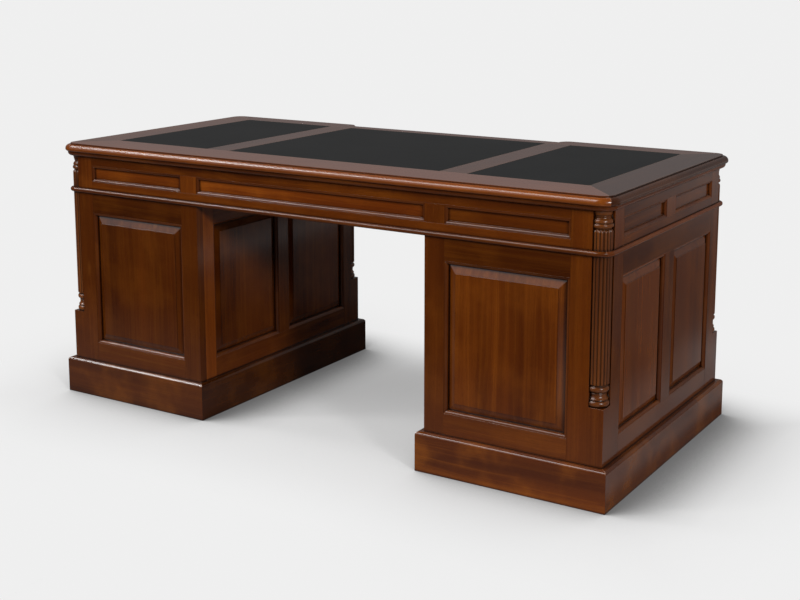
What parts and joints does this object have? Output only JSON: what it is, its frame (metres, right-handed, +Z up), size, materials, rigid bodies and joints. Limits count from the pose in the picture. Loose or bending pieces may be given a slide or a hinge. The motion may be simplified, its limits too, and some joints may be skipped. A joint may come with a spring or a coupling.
{
  "type": "partners desk",
  "caption": "Pedestal partners desk in stained hardwood: leather-lined top, reeded corner columns, panelled pedestals and drawers on the user's side.",
  "frame": {"origin": "on the floor, under the centre of the desk's bounding box", "axes": "+X along the desk's length, +Y towards the user's side with the drawers, -Y towards the visitor's side, +Z up"},
  "size_m": [1.806, 0.864, 0.78],
  "materials": {
    "polished_wood": "gloss lacquer",
    "inner_wood": "sealed, matt",
    "leather": "fine grain, low sheen"
  },
  "bodies": {
    "root": {"bed_moulding": "polished_wood", "frieze_columns": "polished_wood", "frieze_frame": "polished_wood", "frieze_panels": "polished_wood", "frieze_posts": "polished_wood", "frieze_runners": "inner_wood", "leather_insets": "leather", "left_drawer_rails": "polished_wood", "left_end_frame": "polished_wood", "left_kneehole_frame": "polished_wood", "left_pedestal_boards": "inner_wood", "left_pedestal_columns": "polished_wood", "left_pedestal_panels": "polished_wood", "left_pedestal_posts": "polished_wood", "left_pedestal_runners": "inner_wood", "left_plinth": "polished_wood", "left_visitor_frame": "polished_wood", "panel_mouldings": "polished_wood", "right_drawer_rails": "polished_wood", "right_end_frame": "polished_wood", "right_kneehole_frame": "polished_wood", "right_pedestal_boards": "inner_wood", "right_pedestal_columns": "polished_wood", "right_pedestal_panels": "polished_wood", "right_pedestal_posts": "polished_wood", "right_pedestal_runners": "inner_wood", "right_plinth": "polished_wood", "right_visitor_frame": "polished_wood", "top_border": "polished_wood", "top_dividers": "polished_wood", "top_ground_boards": "inner_wood", "waist_moulding": "polished_wood"},
    "left_frieze_drawer": {"left_frieze_drawer_box": "inner_wood", "left_frieze_drawer_front": "polished_wood", "left_frieze_drawer_knobs": "polished_wood"},
    "centre_frieze_drawer": {"centre_frieze_drawer_box": "inner_wood", "centre_frieze_drawer_front": "polished_wood", "centre_frieze_drawer_knobs": "polished_wood"},
    "right_frieze_drawer": {"right_frieze_drawer_box": "inner_wood", "right_frieze_drawer_front": "polished_wood", "right_frieze_drawer_knobs": "polished_wood"},
    "left_bottom_drawer": {"left_bottom_drawer_box": "inner_wood", "left_bottom_drawer_front": "polished_wood", "left_bottom_drawer_knobs": "polished_wood"},
    "left_middle_drawer": {"left_middle_drawer_box": "inner_wood", "left_middle_drawer_front": "polished_wood", "left_middle_drawer_knobs": "polished_wood"},
    "left_top_drawer": {"left_top_drawer_box": "inner_wood", "left_top_drawer_front": "polished_wood", "left_top_drawer_knobs": "polished_wood"},
    "right_bottom_drawer": {"right_bottom_drawer_box": "inner_wood", "right_bottom_drawer_front": "polished_wood", "right_bottom_drawer_knobs": "polished_wood"},
    "right_middle_drawer": {"right_middle_drawer_box": "inner_wood", "right_middle_drawer_front": "polished_wood", "right_middle_drawer_knobs": "polished_wood"},
    "right_top_drawer": {"right_top_drawer_box": "inner_wood", "right_top_drawer_front": "polished_wood", "right_top_drawer_knobs": "polished_wood"}
  },
  "joints": [
    {"name": "left_frieze_drawer_slide", "type": "slide", "parent": "root", "child": "left_frieze_drawer", "axis": [0, 1, 0], "range_m": [0, 0.4]},
    {"name": "centre_frieze_drawer_slide", "type": "slide", "parent": "root", "child": "centre_frieze_drawer", "axis": [0, 1, 0], "range_m": [0, 0.4]},
    {"name": "right_frieze_drawer_slide", "type": "slide", "parent": "root", "child": "right_frieze_drawer", "axis": [0, 1, 0], "range_m": [0, 0.4]},
    {"name": "left_bottom_drawer_slide", "type": "slide", "parent": "root", "child": "left_bottom_drawer", "axis": [0, 1, 0], "range_m": [0, 0.48]},
    {"name": "left_middle_drawer_slide", "type": "slide", "parent": "root", "child": "left_middle_drawer", "axis": [0, 1, 0], "range_m": [0, 0.48]},
    {"name": "left_top_drawer_slide", "type": "slide", "parent": "root", "child": "left_top_drawer", "axis": [0, 1, 0], "range_m": [0, 0.48]},
    {"name": "right_bottom_drawer_slide", "type": "slide", "parent": "root", "child": "right_bottom_drawer", "axis": [0, 1, 0], "range_m": [0, 0.48]},
    {"name": "right_middle_drawer_slide", "type": "slide", "parent": "root", "child": "right_middle_drawer", "axis": [0, 1, 0], "range_m": [0, 0.48]},
    {"name": "right_top_drawer_slide", "type": "slide", "parent": "root", "child": "right_top_drawer", "axis": [0, 1, 0], "range_m": [0, 0.48]}
  ]
}
